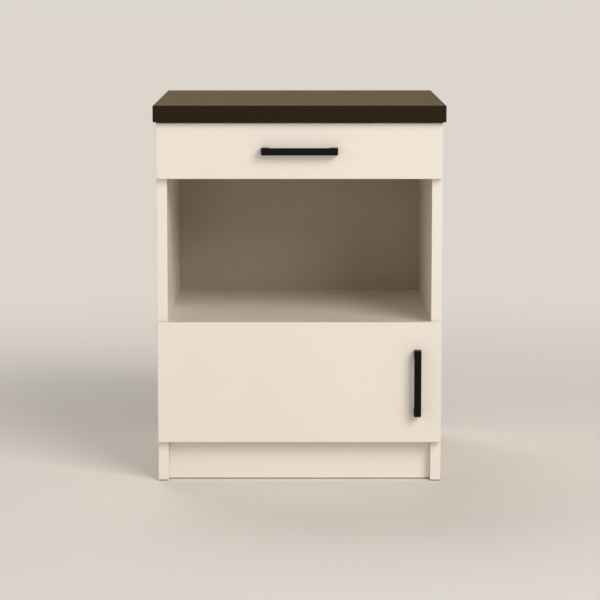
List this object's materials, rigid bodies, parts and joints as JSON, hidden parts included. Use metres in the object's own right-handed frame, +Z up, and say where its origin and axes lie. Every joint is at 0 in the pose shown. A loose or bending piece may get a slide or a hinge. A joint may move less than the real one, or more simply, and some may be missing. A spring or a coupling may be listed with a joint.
{
  "type": "microwave cabinet",
  "caption": "Free-standing kitchen base cabinet with a dark worktop, a drawer, an open microwave niche and a lower cupboard with a side-hung door.",
  "frame": {"origin": "on the floor under the middle of the outline box", "axes": "+Z up, -Y towards the front with the drawer and the door, +X to the right seen from the front"},
  "size_m": [0.61, 0.619, 0.8],
  "materials": {
    "white_board": "warm white satin melamine on particle board",
    "worktop_laminate": "dark brown satin laminate on particle board",
    "hardboard": "thin hardboard, painted beige on one face",
    "black_metal": "black powder coat",
    "zinc_steel": "zinc or nickel plated steel",
    "ball_steel": "polished bearing steel",
    "beech": "fluted beech dowel",
    "white_plastic": "moulded white plastic"
  },
  "bodies": {
    "carcass": {"worktop": "worktop_laminate", "side_panel_left": "white_board", "side_panel_right": "white_board", "bottom_panel": "white_board", "niche_shelf": "white_board", "drawer_deck": "white_board", "top_rail_front": "white_board", "top_rail_rear": "white_board", "back_panel": "hardboard", "hanging_rail_upper": "white_board", "hanging_rail_lower": "white_board", "plinth": "white_board", "plinth_blocks": "white_plastic", "plinth_block_screws": "zinc_steel", "glide_front_left": "white_plastic", "glide_front_right": "white_plastic", "glide_rear_left": "white_plastic", "glide_rear_right": "white_plastic", "cam_locks": "zinc_steel", "cam_bolts": "zinc_steel", "dowels": "beech", "worktop_screws": "zinc_steel", "runner_channel_left": "zinc_steel", "runner_channel_right": "zinc_steel", "runner_channel_screws": "zinc_steel", "hinge_plate_upper": "zinc_steel", "hinge_plate_lower": "zinc_steel", "hinge_arm_upper": "zinc_steel", "hinge_arm_lower": "zinc_steel", "hinge_arm_pins": "zinc_steel", "hinge_plate_screws": "zinc_steel", "hinge_arm_screws": "zinc_steel"},
    "drawer": {"drawer_front": "white_board", "drawer_side_left": "white_board", "drawer_side_right": "white_board", "drawer_back": "white_board", "drawer_bottom": "hardboard", "drawer_handle": "black_metal", "drawer_handle_screws": "zinc_steel", "drawer_cams": "zinc_steel", "drawer_cam_bolts": "zinc_steel", "drawer_back_screws": "zinc_steel", "runner_slide_left": "zinc_steel", "runner_slide_right": "zinc_steel", "runner_slide_screws": "zinc_steel"},
    "cage_left": {"ball_cage_left": "white_plastic", "runner_balls_left": "ball_steel"},
    "cage_right": {"ball_cage_right": "white_plastic", "runner_balls_right": "ball_steel"},
    "door": {"door_panel": "white_board", "door_handle": "black_metal", "door_handle_screws": "zinc_steel", "hinge_cup_upper": "zinc_steel", "hinge_cup_lower": "zinc_steel", "hinge_cup_pins": "zinc_steel", "hinge_cup_screws": "zinc_steel", "door_buffers": "white_plastic"},
    "link_upper": {"hinge_link_upper": "zinc_steel"},
    "link_lower": {"hinge_link_lower": "zinc_steel"}
  },
  "joints": [
    {"name": "drawer_slide", "type": "slide", "parent": "carcass", "child": "drawer", "axis": [0, -1, 0], "range_m": [0, 0.375]},
    {"name": "cage_left_roll", "type": "slide", "parent": "carcass", "child": "cage_left", "axis": [0, -1, 0], "range_m": [0, 0.1875]},
    {"name": "cage_right_roll", "type": "slide", "parent": "carcass", "child": "cage_right", "axis": [0, -1, 0], "range_m": [0, 0.1875]},
    {"name": "upper_link_turn", "type": "hinge", "parent": "carcass", "child": "link_upper", "pos_m": [-0.2635, -0.2615, 0.279], "axis": [0, 0, 1], "range_deg": [0, 52.5]},
    {"name": "door_swing", "type": "hinge", "parent": "link_upper", "child": "door", "pos_m": [-0.2855, -0.2705, 0.279], "axis": [0, 0, -1], "range_deg": [0, 157.5]},
    {"name": "lower_link_turn", "type": "hinge", "parent": "carcass", "child": "link_lower", "pos_m": [-0.2635, -0.2615, 0.152], "axis": [0, 0, 1], "range_deg": [0, 52.5]}
  ],
  "couplings": [
    {"joint": "cage_left_roll", "follows": "drawer_slide", "ratio": 0.5},
    {"joint": "cage_right_roll", "follows": "drawer_slide", "ratio": 0.5},
    {"joint": "upper_link_turn", "follows": "door_swing", "ratio": 0.33333},
    {"joint": "lower_link_turn", "follows": "door_swing", "ratio": 0.33333}
  ]
}
